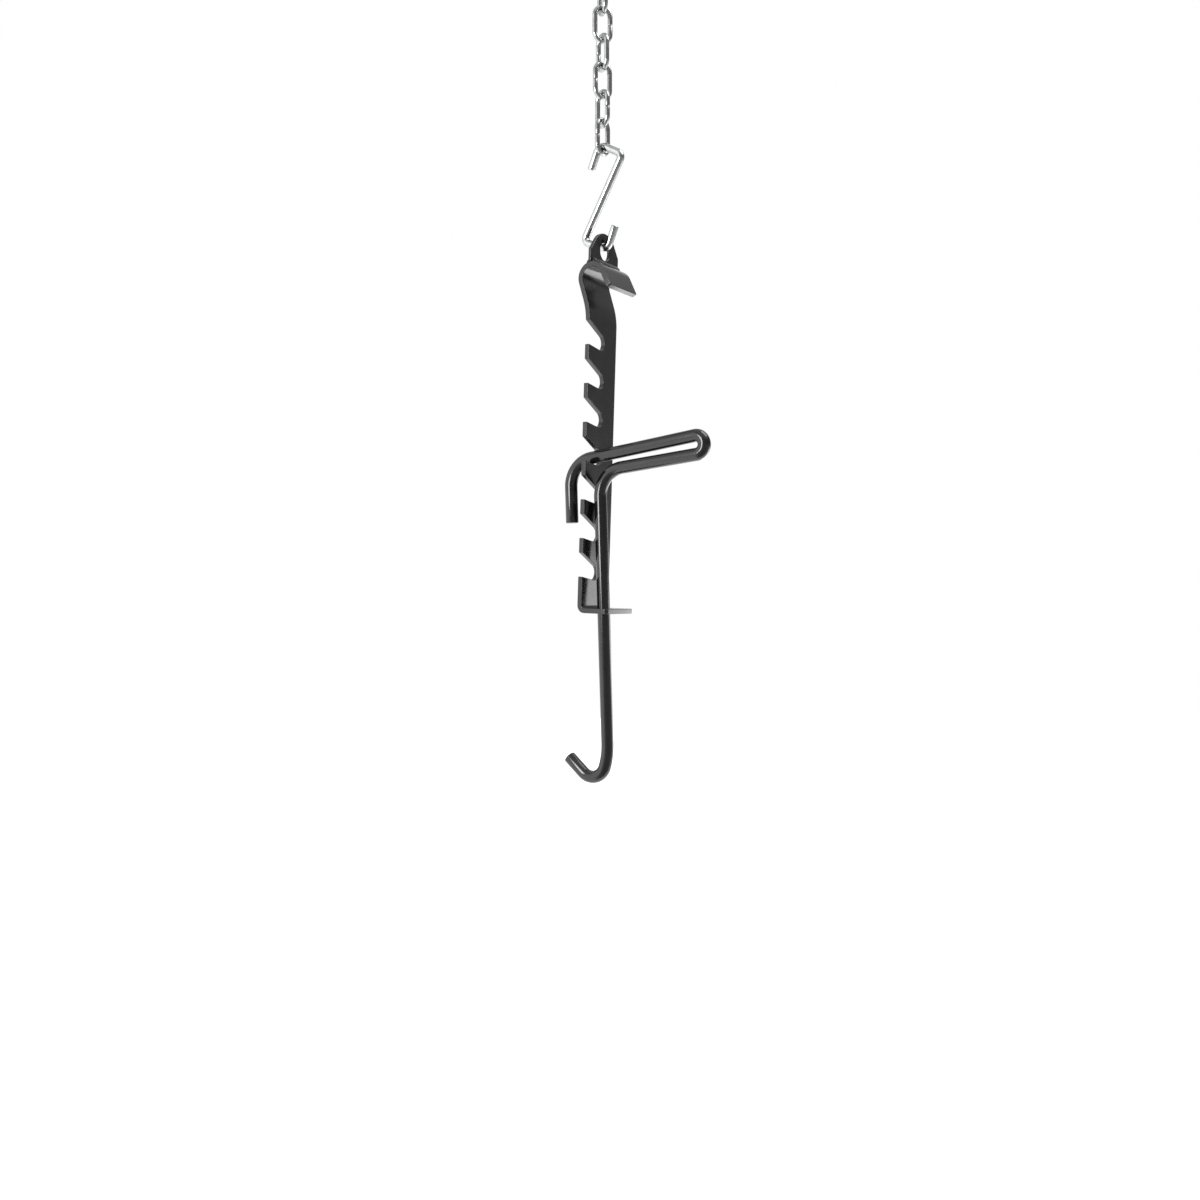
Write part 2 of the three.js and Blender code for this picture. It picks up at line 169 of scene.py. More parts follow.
# The tree that turns a bent line into round wire or rod: it sweeps a circle along the line, rounds
# the rims of the cut ends, and keeps how far along and which way round each point lies.
def round_wire_tree():
    tree = bpy.data.node_groups.new("round_wire", "GeometryNodeTree")
    tree.interface.new_socket("Line", in_out="INPUT", socket_type="NodeSocketGeometry")
    for name, kind in (("Diameter", "Float"), ("End rounding", "Float"), ("Sides", "Int"),
                       ("Finish", "Material")):
        tree.interface.new_socket(name, in_out="INPUT", socket_type=f"NodeSocket{kind}")
    tree.interface.new_socket("Wire", in_out="OUTPUT", socket_type="NodeSocketGeometry")
    given = add(tree, "NodeGroupInput").outputs
    line = add(tree, "GeometryNodeMeshToCurve", {"Mesh": given["Line"]})
    far = add(tree, "GeometryNodeSplineParameter").outputs["Length"]
    whole = add(tree, "GeometryNodeSplineLength").outputs["Length"]
    rest = add(tree, "ShaderNodeMath", {0: whole, 1: far}, operation="SUBTRACT")
    near_end = add(tree, "ShaderNodeMath", {0: far, 1: rest.outputs[0]}, operation="MINIMUM")
    share = add(tree, "ShaderNodeMath", {0: near_end.outputs[0], 1: given["End rounding"]},
                operation="DIVIDE", use_clamp=True)
    inward = add(tree, "ShaderNodeMath", {0: 1.0, 1: share.outputs[0]}, operation="SUBTRACT")
    square = add(tree, "ShaderNodeMath", {0: inward.outputs[0], 1: inward.outputs[0]},
                 operation="MULTIPLY")
    under = add(tree, "ShaderNodeMath", {0: 1.0, 1: square.outputs[0]}, operation="SUBTRACT")
    arc = add(tree, "ShaderNodeMath", {0: under.outputs[0]}, operation="SQRT")
    drop = add(tree, "ShaderNodeMath", {0: 1.0, 1: arc.outputs[0]}, operation="SUBTRACT")
    radius = add(tree, "ShaderNodeMath", {0: given["Diameter"], 1: 0.5}, operation="MULTIPLY")
    ratio = add(tree, "ShaderNodeMath", {0: given["End rounding"], 1: radius.outputs[0]},
                operation="DIVIDE")
    narrowing = add(tree, "ShaderNodeMath", {0: drop.outputs[0], 1: ratio.outputs[0]},
                    operation="MULTIPLY")
    girth = add(tree, "ShaderNodeMath", {0: 1.0, 1: narrowing.outputs[0]}, operation="SUBTRACT")
    marked = add(tree, "GeometryNodeStoreNamedAttribute", {
        "Geometry": line.outputs[0], "Name": "along", "Value": far}, data_type="FLOAT", domain="POINT")
    circle = add(tree, "GeometryNodeCurvePrimitiveCircle", {
        "Resolution": given["Sides"], "Radius": radius.outputs[0]}, mode="RADIUS")
    here = add(tree, "GeometryNodeInputPosition").outputs[0]
    unit = add(tree, "ShaderNodeVectorMath", {0: here}, operation="NORMALIZE")
    ring = add(tree, "GeometryNodeStoreNamedAttribute", {
        "Geometry": circle.outputs[0], "Name": "around", "Value": unit.outputs[0]},
        data_type="FLOAT_VECTOR", domain="POINT")
    swept = add(tree, "GeometryNodeCurveToMesh", {
        "Curve": marked.outputs[0], "Profile Curve": ring.outputs[0], "Scale": girth.outputs[0],
        "Fill Caps": True})
    smooth = add(tree, "GeometryNodeSetShadeSmooth", {
        "Geometry": swept.outputs[0], "Shade Smooth": True})
    corners = add(tree, "GeometryNodeInputMeshFaceNeighbors").outputs["Vertex Count"]
    is_cap = add(tree, "FunctionNodeCompare", {2: corners, 3: 4}, data_type="INT",
                 operation="GREATER_THAN")
    capped = add(tree, "GeometryNodeSetShadeSmooth", {
        "Geometry": smooth.outputs[0], "Selection": is_cap.outputs[0], "Shade Smooth": False})
    whole_wire = add(tree, "GeometryNodeRealizeInstances", {"Geometry": capped.outputs[0]})
    finished = add(tree, "GeometryNodeSetMaterial", {
        "Geometry": whole_wire.outputs[0], "Material": given["Finish"]})
    add(tree, "NodeGroupOutput", {0: finished.outputs[0]})
    return tree


ROUND_WIRE = round_wire_tree()
RIM_STEPS = (0.08, 0.25, 0.55, 1.0)


def baked(maker):
    """Turns an object and its modifiers into a plain mesh with its faces outwards."""
    graph = bpy.context.evaluated_depsgraph_get()
    mesh = bpy.data.meshes.new_from_object(maker.evaluated_get(graph), depsgraph=graph)
    maker.modifiers.clear()
    maker.data = mesh
    return maker


def bent_wire(name, line, place, diameter, end_rounding, sides, finish, arc_step=3):
    """Lays a bent line where its matrix says and makes wire of it."""
    stops = line.stops(arc_step)
    steps = [end_rounding * share for share in RIM_STEPS]
    stops += steps + [line.length - step for step in steps]
    points = [place @ line.at(stop)[0] * MM for stop in sorted(stops)]
    path = bpy.data.meshes.new(name)
    path.from_pydata(points, [(i, i + 1) for i in range(len(points) - 1)], [])
    wire = bpy.data.objects.new(name, path)
    bpy.context.scene.collection.objects.link(wire)
    making = wire.modifiers.new("round_wire", "NODES")
    making.node_group = ROUND_WIRE
    sizes = {
        "Diameter": diameter * MM, "End rounding": end_rounding * MM, "Sides": sides, "Finish": finish}
    for item in ROUND_WIRE.interface.items_tree:
        if item.name in sizes:
            making[item.identifier] = sizes[item.name]
    return baked(wire)


chain_zinc = zinc_plated_wire("bright_zinc_plated_chain", CHAIN_WIRE, 3, "#abacac", "#8a8b8b")
bow_radius = (LINK_INNER_WIDTH + CHAIN_WIRE) / 2
bow_to_bow = LINK_INNER_LENGTH + CHAIN_WIRE
leg = bow_to_bow - 2 * bow_radius
half_leg = (leg - LINK_SEAM) / 2
link_line = BentLine(90, [half_leg, (bow_radius, 180), leg, (bow_radius, 180), half_leg])
link_drop = bow_to_bow - CHAIN_WIRE - REST_GAP
for i, (turn, seam_leg) in enumerate(zip(LINK_TURNS, LINK_SEAM_LEGS)):
    middle = CHAIN_WIRE / 2 - i * link_drop - bow_to_bow / 2
    facing = math.radians(turn if seam_leg > 0 else turn + 180)
    to_seam = Matrix.Translation((bow_radius, 0, LINK_SEAM / 2))
    hung = Matrix.Translation((0, 0, middle)) @ Matrix.Rotation(facing, 4, "Z") @ to_seam
    link = bent_wire(f"link_{i + 1}", link_line, hung, CHAIN_WIRE, LINK_RIM, 28, chain_zinc, arc_step=6)
    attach(link, "chain_top" if i == 0 else f"chain_{i + 1}")
    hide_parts(f"chain_link_{i + 1}")


# Wire hook: one length of 6 mm zinc plated wire, bent at four places in one plane, with cropped ends.
# Its upper bend hangs in the lowest link and its lower bend carries the eye plate.
HOOK_WIRE = 6.0
HOOK_TOP_PLAY = 0.5
HOOK_TOP_SEAT = math.radians(32)
HOOK_FOOT_PLAY = 0.8
HOOK_CORNER = 4.7
HOOK_TIP_HEADING = 67.0
HOOK_TOP_TIP = 14.0
HOOK_TOP_BEND = 95.5
HOOK_TOP_RUN = 12.65
HOOK_UPPER_CORNER = 91.1
HOOK_LONG_RUN = 62.5
HOOK_LOWER_CORNER = 97.0
HOOK_FOOT_RUN = 13.05
HOOK_FOOT_BEND = 89.9
HOOK_FOOT_TIP = 13.6
HOOK_RIM = 0.6
EYE_THICKNESS = 3.0

hook_zinc = zinc_plated_wire("bright_zinc_plated_hook", HOOK_WIRE, 4, "#b2b3b3", "#9c9d9d")
hook_top_radius = CHAIN_WIRE / 2 + REST_GAP + HOOK_TOP_PLAY + HOOK_WIRE / 2
hook_foot_radius = EYE_THICKNESS / 2 + HOOK_FOOT_PLAY + HOOK_WIRE / 2
hook_line = BentLine(HOOK_TIP_HEADING, [
    HOOK_TOP_TIP, (hook_top_radius, -HOOK_TOP_BEND), HOOK_TOP_RUN, (HOOK_CORNER, -HOOK_UPPER_CORNER),
    HOOK_LONG_RUN, (HOOK_CORNER, HOOK_LOWER_CORNER), HOOK_FOOT_RUN,
    (hook_foot_radius, HOOK_FOOT_BEND), HOOK_FOOT_TIP])
lowest_bow = CHAIN_WIRE / 2 - (len(LINK_TURNS) - 1) * link_drop - bow_to_bow
seat = Vector((
    HOOK_TOP_PLAY * math.sin(HOOK_TOP_SEAT), 0,
    lowest_bow - HOOK_TOP_PLAY * math.cos(HOOK_TOP_SEAT)))
hook_place = Matrix.Translation(seat - hook_line.centres[0])
hook = bent_wire("wire_hook", hook_line, hook_place, HOOK_WIRE, HOOK_RIM, 40, hook_zinc)
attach(hook, "wire_hook")
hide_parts("s_hook")
hook_foot = hook_place @ hook_line.centres[-1]


# Notched bar: a 40 mm strip of 4 mm steel sheet, laser cut with seven notches, then bent: the foot
# forward into a guide with a round hole, the top rolled over into a lifting hook. It is powder coated.
BAR_WIDTH = 40.0
BAR_THICKNESS = 4.0
BAR_LEAN = math.radians(2.03)
NOTCH_COUNT = 7
NOTCH_PITCH = 30.0
NOTCH_DEPTH = 23.0
NOTCH_PLAY = 1.0
NOTCH_LIP = 2.45
NOTCH_ROOF = math.radians(26.3)
NOTCH_INTO_NECK = 2.0
FIRST_TIP_DROP = 17.1
FOOT_LAND = 22.3
NECK_RADIUS = 56.2
NECK_ANGLE = 18.8
NECK_RUN = 13.8
CROWN_RADIUS = 10.2
CROWN_ANGLE = 171.9
CROWN_TIP_RUN = 14.9
CROWN_TIP_CORNER = 1.5
GUIDE_REACH = 23.2
GUIDE_BEND = 2 + BAR_THICKNESS / 2
GUIDE_CORNER = 3.0
GUIDE_PLAY = 3.0
GUIDE_HOLE_X = 13.526
ROD_DIAMETER = 10.0
ROD_Y = -5.6
CUT_ROUNDING = 0.7


# Black polyester powder on blasted steel: a deep neutral black with a silk shine. The baked film has
# a faint orange peel of about 3 mm, and the laser's drag lines still show in the cut edges.
PEEL_SIZE = 3
CLOUD_SIZE = 9
DRAG_LINE = 0.9


def black_powder_coat(name, colour, paler, shine, peel, cut_lines=0.0):
    made, tree = new_material(name)
    place = add(tree, "ShaderNodeTexCoord").outputs["Object"]
    skin = add(tree, "ShaderNodeTexNoise", {
        "Vector": place, "Scale": 1 / (PEEL_SIZE * MM), "Detail": 1.0})
    cloud = add(tree, "ShaderNodeTexNoise", {
        "Vector": place, "Scale": 1 / (CLOUD_SIZE * MM), "Detail": 5.0, "Roughness": 0.6})
    tone = add(tree, "ShaderNodeMapRange", {
        "Value": cloud.outputs["Fac"], "From Min": 0.35, "From Max": 0.7},
        interpolation_type="SMOOTHSTEP")
    body = add(tree, "ShaderNodeMix", {
        "Factor": tone.outputs[0], 6: hex_colour(colour), 7: hex_colour(paler)}, data_type="RGBA")
    roughness = add(tree, "ShaderNodeMapRange", {
        "Value": cloud.outputs["Fac"], "From Min": 0.3, "From Max": 0.7,
        "To Min": shine - 0.02, "To Max": shine + 0.03})
    relief = add(tree, "ShaderNodeBump", {
        "Height": skin.outputs["Fac"], "Strength": peel, "Distance": 0.03 * MM}).outputs[0]
    if cut_lines:
        cut = add(tree, "ShaderNodeUVMap", uv_map="cut_edge").outputs[0]
        parts = add(tree, "ShaderNodeSeparateXYZ", {0: cut}).outputs
        across = add(tree, "ShaderNodeCombineXYZ", {0: parts[0]})
        drag = add(tree, "ShaderNodeTexNoise", {
            "Vector": across.outputs[0], "Scale": 1 / (DRAG_LINE * MM), "Detail": 3.0,
            "Roughness": 0.7})
        on_edge = add(tree, "ShaderNodeMath", {0: drag.outputs["Fac"], 1: parts[1]},
                      operation="MULTIPLY")
        relief = add(tree, "ShaderNodeBump", {
            "Height": on_edge.outputs[0], "Strength": cut_lines, "Distance": 0.1 * MM,
            "Normal": relief}).outputs[0]
    coat = add(tree, "ShaderNodeBsdfPrincipled", {
        "Base Color": body.outputs[2], "Roughness": roughness.outputs[0], "IOR": 1.5,
        "Normal": relief})
    add(tree, "ShaderNodeOutputMaterial", {"Surface": coat.outputs[0]})
    return made


def arc_points(centre, radius, start, end, steps):
    """Points round a circle in the flat blank, from one angle to the other, in degrees."""
    angles = [math.radians(start + (end - start) * i / steps) for i in range(steps + 1)]
    return [(centre[0] + radius * math.cos(a), centre[1] + radius * math.sin(a)) for a in angles]


def formed_sheet(name, cells, line, thickness, place, rounding, finish):
    """Bends a flat blank, given as cells of (across, along) points, round a bent line, and rounds its
    edges. UV map cut_edge runs along each cut edge, and its second value is 1 there and 0 on the sheet."""
    blank = bmesh.new()
    for cell in cells:
        blank.faces.new([blank.verts.new((y, s, 0)) for y, s in cell])
    bmesh.ops.remove_doubles(blank, verts=blank.verts, dist=1e-4)
    blank.verts.index_update()
    onward = {}
    for edge in blank.edges:
        if edge.is_boundary:
            loop = edge.link_loops[0]
            onward[loop.vert.index] = loop.link_loop_next.vert.index
    sides = []
    for side in (1, -1):
        layer = []
        for vert in blank.verts:
            spot, heading = line.at(vert.co.y)
            spot = spot + side * thickness / 2 * left_of(heading) + Vector((0, vert.co.x, 0))
            layer.append(place @ spot * MM)
        sides.append(layer)
    solid = bmesh.new()
    cut_edge = solid.loops.layers.uv.new("cut_edge")
    first, second = [[solid.verts.new(spot) for spot in layer] for layer in sides]
    for face in blank.faces:
        ring = [vert.index for vert in face.verts]
        for layer, order in ((first, ring), (second, ring[::-1])):
            for loop in solid.faces.new([layer[i] for i in order]).loops:
                loop[cut_edge].uv = (0, 0)
    unused = set(onward)
    while unused:
        start = here = min(unused)
        unused.discard(start)
        travelled = 0.0
        while True:
            there = onward[here]
            step = (first[there].co - first[here].co).length
            quad = solid.faces.new((first[there], first[here], second[here], second[there]))
            for loop, length in zip(quad.loops, (travelled + step, travelled, travelled, travelled + step)):
                loop[cut_edge].uv = (length, 1)
            travelled += step
            here = there
            if here == start:
                break
            unused.discard(here)
    if solid.calc_volume(signed=True) < 0:
        bmesh.ops.reverse_faces(solid, faces=solid.faces)
    for face in solid.faces:
        face.smooth = True
    mesh = bpy.data.meshes.new(name)
    solid.to_mesh(mesh)
    mesh.materials.append(finish)
    sheet = bpy.data.objects.new(name, mesh)
    bpy.context.scene.collection.objects.link(sheet)
    rounded = sheet.modifiers.new("rounded_edges", "BEVEL")
    rounded.width = rounding * MM
    rounded.segments = 3
    rounded.limit_method = "ANGLE"
    rounded.angle_limit = math.radians(30)
    rounded.harden_normals = True
    return baked(sheet)


half_bar = BAR_WIDTH / 2
bar_flat = FIRST_TIP_DROP + (NOTCH_COUNT - 1) * NOTCH_PITCH + FOOT_LAND
bar_line = BentLine(180, [
    GUIDE_REACH + BAR_THICKNESS / 2 - GUIDE_BEND, (GUIDE_BEND, -90), bar_flat,
    (NECK_RADIUS, NECK_ANGLE), NECK_RUN, (CROWN_RADIUS, -CROWN_ANGLE), CROWN_TIP_RUN])
guide_end, flat_start, flat_end, neck_end, crown_start, crown_end, bar_end = [
    part[0] for part in bar_line.parts[1:]] + [bar_line.length]

cells = []
hole_s = GUIDE_REACH + BAR_THICKNESS / 2 - GUIDE_HOLE_X
hole_r = (ROD_DIAMETER + GUIDE_PLAY) / 2
cells.append(
    [(-half_bar, hole_s)]
    + arc_points((-half_bar + GUIDE_CORNER, GUIDE_CORNER), GUIDE_CORNER, 180, 270, 6)
    + arc_points((half_bar - GUIDE_CORNER, GUIDE_CORNER), GUIDE_CORNER, 270, 360, 6)
    + [(half_bar, hole_s)]
    + arc_points((ROD_Y, hole_s), hole_r, 0, -180, 28))
cells.append(
    [(-half_bar, guide_end), (-half_bar, hole_s)]
    + arc_points((ROD_Y, hole_s), hole_r, 180, 0, 28)
    + [(half_bar, hole_s), (half_bar, guide_end)])

# The notched flat: up the plain edge, then down the notched edge from the top notch to the lowest.
# The top notch's mouth runs a little way up into the neck, and so does this cell
notched_end = flat_end + NOTCH_INTO_NECK
seat_r = ROD_DIAMETER / 2 + NOTCH_PLAY
seat_y = -half_bar + NOTCH_DEPTH - seat_r
seat_rise = seat_r - NOTCH_LIP
tip_to_seat = math.hypot(seat_y + half_bar, seat_rise)
floor_slope = math.asin(seat_r / tip_to_seat) - math.atan2(seat_rise, seat_y + half_bar)
notched = [
    (-half_bar, flat_start), (half_bar, flat_start), (half_bar, notched_end), (-half_bar, notched_end)]
for i in range(NOTCH_COUNT):
    tip_s = flat_end - FIRST_TIP_DROP - i * NOTCH_PITCH
    seat_at = (seat_y, tip_s + seat_rise)
    round_seat = arc_points(
        seat_at, seat_r, 90 - math.degrees(NOTCH_ROOF), -90 - math.degrees(floor_slope), 20)
    roof_y, roof_s = round_seat[0]
    notched.append((-half_bar, roof_s + (roof_y + half_bar) * math.tan(NOTCH_ROOF)))
    notched += round_seat
    notched.append((-half_bar, tip_s))
cells.append(notched)

for start, end, steps in (
        (guide_end, flat_start, 14), (notched_end, neck_end, 10), (neck_end, crown_start, 1),
        (crown_start, crown_end, 44)):
    for i in range(steps):
        low, high = [start + (end - start) * j / steps for j in (i, i + 1)]
        cells.append([(-half_bar, low), (half_bar, low), (half_bar, high), (-half_bar, high)])
cells.append(
    [(-half_bar, crown_end), (half_bar, crown_end)]
    + arc_points((half_bar - CROWN_TIP_CORNER, bar_end - CROWN_TIP_CORNER), CROWN_TIP_CORNER, 0, 90, 4)
    + arc_points((-half_bar + CROWN_TIP_CORNER, bar_end - CROWN_TIP_CORNER), CROWN_TIP_CORNER, 90, 180, 4))

# The eye's top bears inside the wire hook's lower bend, and the bar's frame hangs below it
EYE_ABOVE_BAR = 288.342
EYE_SEAT = math.radians(34)
hook_inside = hook_foot_radius - HOOK_WIRE / 2
eye_top = hook_foot + Vector((
    hook_inside * math.sin(EYE_SEAT) - EYE_THICKNESS / 2, 0, REST_GAP - hook_inside * math.cos(EYE_SEAT)))
bar_place = (
    Matrix.Translation(eye_top) @ Matrix.Rotation(BAR_LEAN, 4, "Y")
    @ Matrix.Translation((0, 0, -EYE_ABOVE_BAR)))
sheet_coat = black_powder_coat("black_powder_coated_sheet", "#121213", "#161617", 0.2, 0.04, 0.15)
to_bar = Matrix.Translation((GUIDE_REACH + BAR_THICKNESS / 2, 0, 0))
notched_bar = formed_sheet(
    "notched_bar", cells, bar_line, BAR_THICKNESS, bar_place @ to_bar, CUT_ROUNDING, sheet_coat)
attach(notched_bar, "bar")
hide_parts("toothed_bar")


# Eye plate: a piece of 3 mm sheet with straight shoulders, a round head and a 13.8 mm hole, laser cut.
# It stands on the crown of the roll, in line with the bar, and is coated with it.
EYE_HOLE_ROOM = 7.8
EYE_HOLE_R = (HOOK_WIRE + EYE_HOLE_ROOM) / 2
EYE_HOLE_HEIGHT = 11.1
EYE_RIM = 7.1
EYE_HEAD_R = 17.0
EYE_SHOULDER = 9.7

eye_base = EYE_ABOVE_BAR - EYE_HOLE_R - EYE_HOLE_HEIGHT
head_s = EYE_HOLE_HEIGHT + EYE_HOLE_R + EYE_RIM - EYE_HEAD_R
shoulder = Vector((half_bar, EYE_SHOULDER - head_s))
tangent = math.degrees(math.atan2(shoulder.y, shoulder.x) + math.acos(EYE_HEAD_R / shoulder.length))
head = arc_points((0, head_s), EYE_HEAD_R, tangent, 180 - tangent, 36)
down_side = (EYE_HOLE_HEIGHT - EYE_SHOULDER) / (head[0][1] - EYE_SHOULDER)
hole_edge = half_bar + (head[0][0] - half_bar) * down_side
eye_cells = [
    [(-half_bar, EYE_SHOULDER), (-half_bar, 0), (half_bar, 0), (half_bar, EYE_SHOULDER),
     (hole_edge, EYE_HOLE_HEIGHT)]
    + arc_points((0, EYE_HOLE_HEIGHT), EYE_HOLE_R, 0, -180, 28) + [(-hole_edge, EYE_HOLE_HEIGHT)],
    [(hole_edge, EYE_HOLE_HEIGHT)] + head + [(-hole_edge, EYE_HOLE_HEIGHT)]
    + arc_points((0, EYE_HOLE_HEIGHT), EYE_HOLE_R, 180, 0, 28)]
# The eye plate has the bar's black coat, but its colour is set darker than the bar's: this is painted shade
eye_coat_painted_shade = black_powder_coat("black_powder_coated_eye_painted_shade", "#0e0e0f", "#131314", 0.24, 0.1, 0.15)
eye_line = BentLine(90, [EYE_HOLE_HEIGHT + EYE_HOLE_R + EYE_RIM])
eye_place = bar_place @ Matrix.Translation((0, 0, eye_base))
eye_plate = formed_sheet(
    "eye_plate", eye_cells, eye_line, EYE_THICKNESS, eye_place, CUT_ROUNDING, eye_coat_painted_shade)
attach(eye_plate, "bar")
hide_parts("eye_lug")


# Weld beads: one fillet along each side of the eye plate's foot, laid by hand. Its ripples are soft
# under the coating, it wanders a little and both its ends are rounded off.
WELD_LEG = 3.2
WELD_INSET = 1.2
RIPPLE = 1.7
RIPPLE_DEPTH = 0.16
WELD_END = 1.9
WELD_RINGS = 300

crown = Vector((GUIDE_REACH + BAR_THICKNESS / 2, 0, 0)) + bar_line.centres[-1]
crown_outside = CROWN_RADIUS + BAR_THICKNESS / 2
weld_coat = black_powder_coat("black_powder_coated_weld", "#131314", "#1a1a1b", 0.12, 0.2)


def crown_height(x, lift=0.0):
    return crown.z + math.sqrt((crown_outside + lift) ** 2 - (x - crown.x) ** 2)


def weld_bead(name, side):
    near = side * (EYE_THICKNESS / 2 + REST_GAP)
    foot = [near + side * WELD_LEG * i / 6 for i in range(7)]
    under = [Vector((x, crown_height(x, REST_GAP))) for x in foot]
    root, toe = under[0], under[-1]
    top = Vector((near, root.y + WELD_LEG))
    pull = Vector((toe.x - side * 0.2 * WELD_LEG, top.y - 0.2 * WELD_LEG))
    face = [((1 - t) ** 2 * toe + 2 * t * (1 - t) * pull + t ** 2 * top, t)
            for t in (i / 10 for i in range(1, 11))]
    half = half_bar - WELD_INSET
    bead = bmesh.new()
    rings = []
    for k in range(WELD_RINGS + 1):
        y = -half + 2 * half * k / WELD_RINGS
        to_end = min(half - abs(y), WELD_END) / WELD_END
        cap = max(0.05, math.sqrt(1 - (1 - to_end) ** 2))
        wander = 0.25 * math.sin(y * 0.9 + side) + 0.15 * math.sin(y * 2.3)
        ring = [root + (spot - root) * (cap if j else 1) for j, spot in enumerate(under)]
        for spot, t in face:
            wave = (y + wander + 0.9 * (2 * t - 1) ** 2) / RIPPLE
            ripple = 0.5 + 0.5 * math.cos(math.tau * wave)
            dip = RIPPLE_DEPTH * ripple * math.sin(math.pi * t)
            out = spot - root
            ring.append(root + out * cap * (1 - dip / max(out.length, 0.5)))
        rings.append([bead.verts.new(bar_place @ Vector((p.x, y, p.y)) * MM) for p in ring])
    for a, b in zip(rings, rings[1:]):
        for j in range(len(a)):
            n = (j + 1) % len(a)
            bead.faces.new((a[j], a[n], b[n], b[j]))
    for ring in (rings[0], rings[-1]):
        bead.faces.new(ring)
    bmesh.ops.recalc_face_normals(bead, faces=bead.faces)
    for side_made in bead.faces:
        side_made.smooth = True
    mesh = bpy.data.meshes.new(name)
    bead.to_mesh(mesh)
    mesh.materials.append(weld_coat)
    made = bpy.data.objects.new(name, mesh)
    bpy.context.scene.collection.objects.link(made)
    return made


for where, side in (("front", 1), ("back", -1)):
    bead = weld_bead(f"eye_weld_{where}", side)
    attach(bead, "bar")
    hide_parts(f"lug_weld_{where}")


# Rod: one length of 10 mm round bar, bent cold in one plane. It rises from the foot hook through the
# guide, folds into the handle loop, crosses the notch and ends in the keeper behind the bar.
ROD_LEAN = math.radians(4)
ROD_X = 21.712
ROD_Z = -117.064
FOOT_HOOK_RADIUS = 12.4
FOOT_HOOK_TURN = 133.0
EASE_RADIUS = 55.0
EASE_TURN = 19.4
HANDLE_BEND = 21.5
HANDLE_LOOP = 7.1
FOOT_HOOK_TIP = 17.4
SHANK_RUN = 192.2
HANDLE_RUN = 65.4
KEEPER_RUN = 28.6
KEEPER_ROOM = 12.6
ROD_RIM = 0.7
LOWER_RISE = 3.45
UPPER_RISE = 5.1

to_loop = [
    FOOT_HOOK_TIP, (FOOT_HOOK_RADIUS, FOOT_HOOK_TURN - EASE_TURN), (EASE_RADIUS, EASE_TURN), SHANK_RUN,
    (HANDLE_BEND, LOWER_RISE - 90), HANDLE_RUN, (HANDLE_LOOP, 180 + UPPER_RISE - LOWER_RISE)]
rod_start = BentLine(90 - FOOT_HOOK_TURN, to_loop)
shank = Vector((rod_start.centres[1].x + EASE_RADIUS, 0, rod_start.centres[0].z))
loop_end = rod_start.at(rod_start.length)[0] - shank
rise = math.radians(UPPER_RISE)
keeper_turn = 90 - UPPER_RISE
keeper_back = ROD_DIAMETER + REST_GAP + BAR_THICKNESS + KEEPER_ROOM
keeper_setback = HANDLE_BEND * math.tan(math.radians(keeper_turn) / 2)
arm = (loop_end.x + keeper_back) / math.cos(rise) - keeper_setback
rod_line = BentLine(90 - FOOT_HOOK_TURN, to_loop + [arm, (HANDLE_BEND, keeper_turn), KEEPER_RUN])
rod_place = (
    bar_place @ Matrix.Translation((ROD_X, ROD_Y, ROD_Z)) @ Matrix.Rotation(-ROD_LEAN, 4, "Y")
    @ Matrix.Translation(-shank))
rod_coat = black_powder_coat("black_powder_coated_rod", "#121213", "#171718", 0.13, 0.04)
rod = bent_wire("hook_rod_bar", rod_line, rod_place, ROD_DIAMETER, ROD_RIM, 56, rod_coat)
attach(rod, "rod")
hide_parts("hook_rod")


# Studio: a pale floor well below the foot hook runs back into a white sweep, which the metal shows
# too. The room in front is white on the left and dim round the camera, and three soft boxes light it.
TO_CAMERA = Vector((0.5293, -0.8484, 0.0))
TO_RIGHT = Vector((0.8484, 0.5293, 0.0))
WHITE_WALL = 2.5
CEILING = 0.9
FLOOR_LEVEL = -0.95
FLOOR_FRONT = 0.12
FLOOR_REACH = 4.0
FLOOR_GLOW = 0.75


def background_rays(tree):
    """Which rays see the background straight on, and which see it in metal or glass."""
    rays = add(tree, "ShaderNodeLightPath").outputs
    mirrored = add(tree, "ShaderNodeMath", {
        0: rays["Is Glossy Ray"], 1: rays["Is Transmission Ray"]}, operation="MAXIMUM").outputs[0]
    return rays["Is Camera Ray"], mirrored


# The floor begins just in front of the object, so the metal doesn't show it towards the camera
corners = [(-FLOOR_REACH, FLOOR_FRONT), (FLOOR_REACH, FLOOR_FRONT),
           (FLOOR_REACH, -FLOOR_REACH), (-FLOOR_REACH, -FLOOR_REACH)]
floor_mesh = bpy.data.meshes.new("studio_floor")
floor_mesh.from_pydata(
    [across * TO_RIGHT + near * TO_CAMERA + Vector((0, 0, FLOOR_LEVEL)) for across, near in corners],
    [], [(3, 2, 1, 0)])
floor = bpy.data.objects.new("studio_floor", floor_mesh)
bpy.context.scene.collection.objects.link(floor)
pale, tree = new_material("pale_studio_floor")
straight, mirrored = background_rays(tree)
shown = add(tree, "ShaderNodeMath", {0: straight, 1: mirrored}, operation="MAXIMUM")
matt = add(tree, "ShaderNodeBsdfDiffuse", {"Color": hex_colour("#f4f4f4")})
glow = add(tree, "ShaderNodeEmission", {"Color": (1, 1, 1, 1), "Strength": FLOOR_GLOW})
added = add(tree, "ShaderNodeAddShader", {0: matt.outputs[0], 1: glow.outputs[0]})
chosen = add(tree, "ShaderNodeMixShader", {
    0: shown.outputs[0], 1: matt.outputs[0], 2: added.outputs[0]})
add(tree, "ShaderNodeOutputMaterial", {"Surface": chosen.outputs[0]})
floor_mesh.materials.append(pale)

